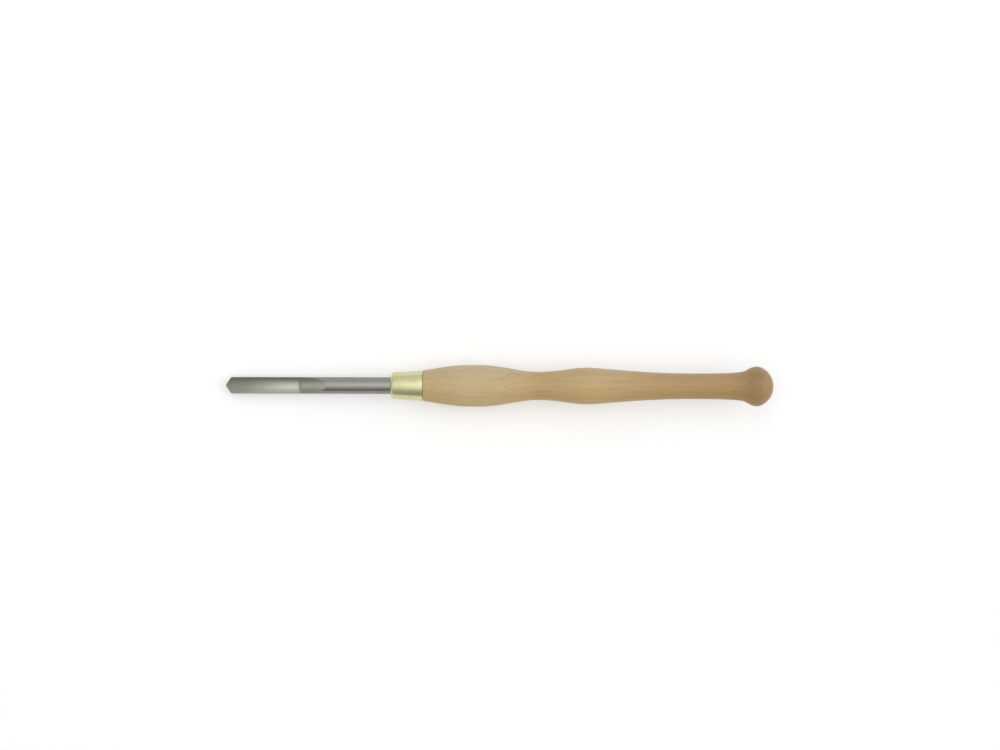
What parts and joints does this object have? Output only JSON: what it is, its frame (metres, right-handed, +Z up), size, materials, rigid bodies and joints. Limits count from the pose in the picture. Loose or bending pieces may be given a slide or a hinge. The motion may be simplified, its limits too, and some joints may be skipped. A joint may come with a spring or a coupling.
{
  "type": "spindle gouge",
  "caption": "Woodturning gouge: round steel bar with a shallow flute and a conical bevel, bonded into a swelling turned beech handle behind a tapered brass ferrule.",
  "frame": {"origin": "on the surface that the tool lies on, under the middle of its bounding box", "axes": "+X runs from the cutting tip to the butt of the handle, +Z is up with the flute facing up; the tool's own axis is tilted about 3 degrees, nose down, as it lies on its nose and on the handle's bulge"},
  "size_m": [0.4294, 0.0328, 0.0443],
  "materials": {
    "high_speed_steel": "ground high speed steel, fine grinding lines, bright satin",
    "brass": "drawn brass, polished, pale yellow",
    "beech": "turned beech under a thin clear lacquer, satin",
    "epoxy": "hardened epoxy adhesive, hidden in the bore"
  },
  "bodies": {
    "root": {"blade": "high_speed_steel", "ferrule": "brass", "handle": "beech", "epoxy_bond": "epoxy"}
  },
  "joints": []
}
